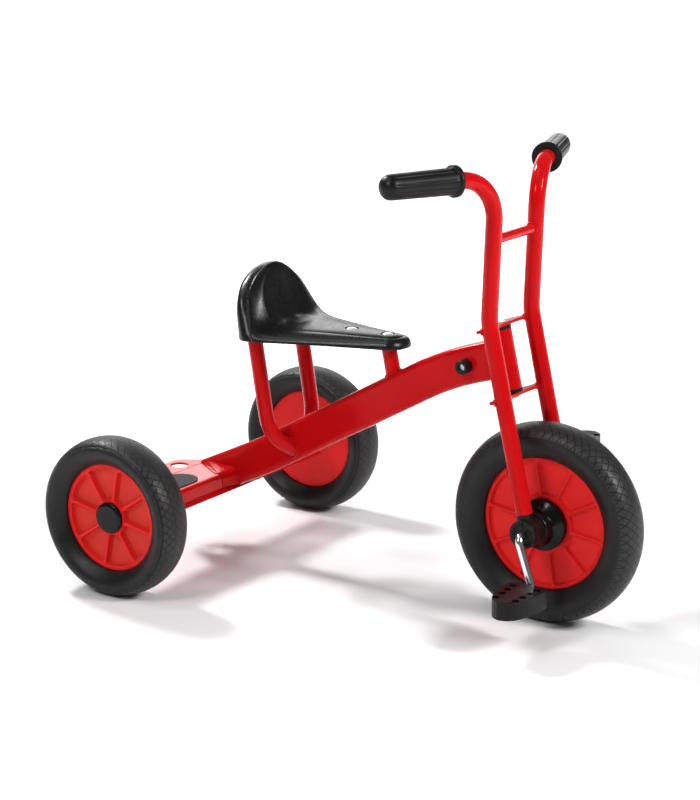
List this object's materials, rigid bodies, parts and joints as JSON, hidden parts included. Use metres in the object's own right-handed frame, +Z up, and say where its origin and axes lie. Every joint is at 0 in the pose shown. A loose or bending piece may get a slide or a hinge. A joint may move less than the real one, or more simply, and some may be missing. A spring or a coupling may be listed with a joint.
{
  "type": "child's tricycle",
  "caption": "Steel tricycle for small children with a driven and steered front wheel, moulded seat, step deck and tow plate.",
  "frame": {"origin": "on the ground, at the centre of the overall length and width", "axes": "+X forward towards the front wheel, +Y to the rider's left, +Z up"},
  "size_m": [0.78, 0.5274, 0.6123],
  "materials": {
    "paint": "gloss",
    "hub": "satin",
    "black": "satin",
    "tyre": "matte",
    "pad": "rough",
    "chrome": "polished",
    "steel": "satin"
  },
  "bodies": {
    "frame": {"main_beam": "paint", "head_tube": "paint", "head_bush_lower": "black", "head_bush_upper": "black", "axle_housing": "paint", "axle_plate_left": "paint", "axle_plate_right": "paint", "beam_saddle_left": "paint", "beam_saddle_right": "paint", "tread_pad_left": "pad", "tread_pad_right": "pad", "tow_plate": "paint", "rear_axle": "steel", "axle_spacer_left": "steel", "axle_spacer_right": "steel", "axle_nut_left": "steel", "axle_nut_right": "steel", "seat_tube_left": "paint", "seat_tube_right": "paint", "seat_post": "paint", "seat_bracket": "steel", "seat_shell": "black", "seat_bolt_rear": "steel", "seat_bolt_front": "steel", "seat_nut_rear": "steel", "seat_nut_front": "steel", "steering_stop_left": "black", "steering_stop_right": "black", "stop_screw_left": "steel", "stop_screw_right": "steel"},
    "steering": {"fork_tube_left": "paint", "fork_tube_right": "paint", "handlebar_brace": "paint", "crown_plate_lower": "paint", "crown_plate_upper": "paint", "steering_bolt": "steel", "steering_nut": "steel", "grip_left": "black", "grip_right": "black", "bearing_block_left": "black", "bearing_block_right": "black"},
    "front_wheel": {"front_tyre": "tyre", "front_rim": "hub", "hub_cover_left": "black", "hub_cover_right": "black", "crank": "chrome"},
    "pedal_left": {"pedal_left": "black"},
    "pedal_right": {"pedal_right": "black"},
    "rear_wheel_left": {"rear_tyre_left": "tyre", "rear_rim_left": "hub", "wheel_bush_left": "black", "hub_cap_left": "black"},
    "rear_wheel_right": {"rear_tyre_right": "tyre", "rear_rim_right": "hub", "wheel_bush_right": "black", "hub_cap_right": "black"}
  },
  "joints": [
    {"name": "steering_turn", "type": "hinge", "parent": "frame", "child": "steering", "pos_m": [0.23554, 0, 0.12928], "axis": [-0.225, 0, 0.9744], "range_deg": [-65, 65]},
    {"name": "front_wheel_spin", "type": "hinge", "parent": "steering", "child": "front_wheel", "pos_m": [0.256, 0, 0.134], "axis": [0, 1, 0], "continuous": true},
    {"name": "pedal_left_spin", "type": "hinge", "parent": "front_wheel", "child": "pedal_left", "pos_m": [0.23163, 0.128, 0.20281], "axis": [0, 1, 0], "continuous": true},
    {"name": "pedal_right_spin", "type": "hinge", "parent": "front_wheel", "child": "pedal_right", "pos_m": [0.28037, -0.128, 0.06519], "axis": [0, 1, 0], "continuous": true},
    {"name": "rear_wheel_left_spin", "type": "hinge", "parent": "frame", "child": "rear_wheel_left", "pos_m": [-0.28, 0.235, 0.11], "axis": [0, 1, 0], "continuous": true},
    {"name": "rear_wheel_right_spin", "type": "hinge", "parent": "frame", "child": "rear_wheel_right", "pos_m": [-0.28, -0.235, 0.11], "axis": [0, 1, 0], "continuous": true}
  ]
}
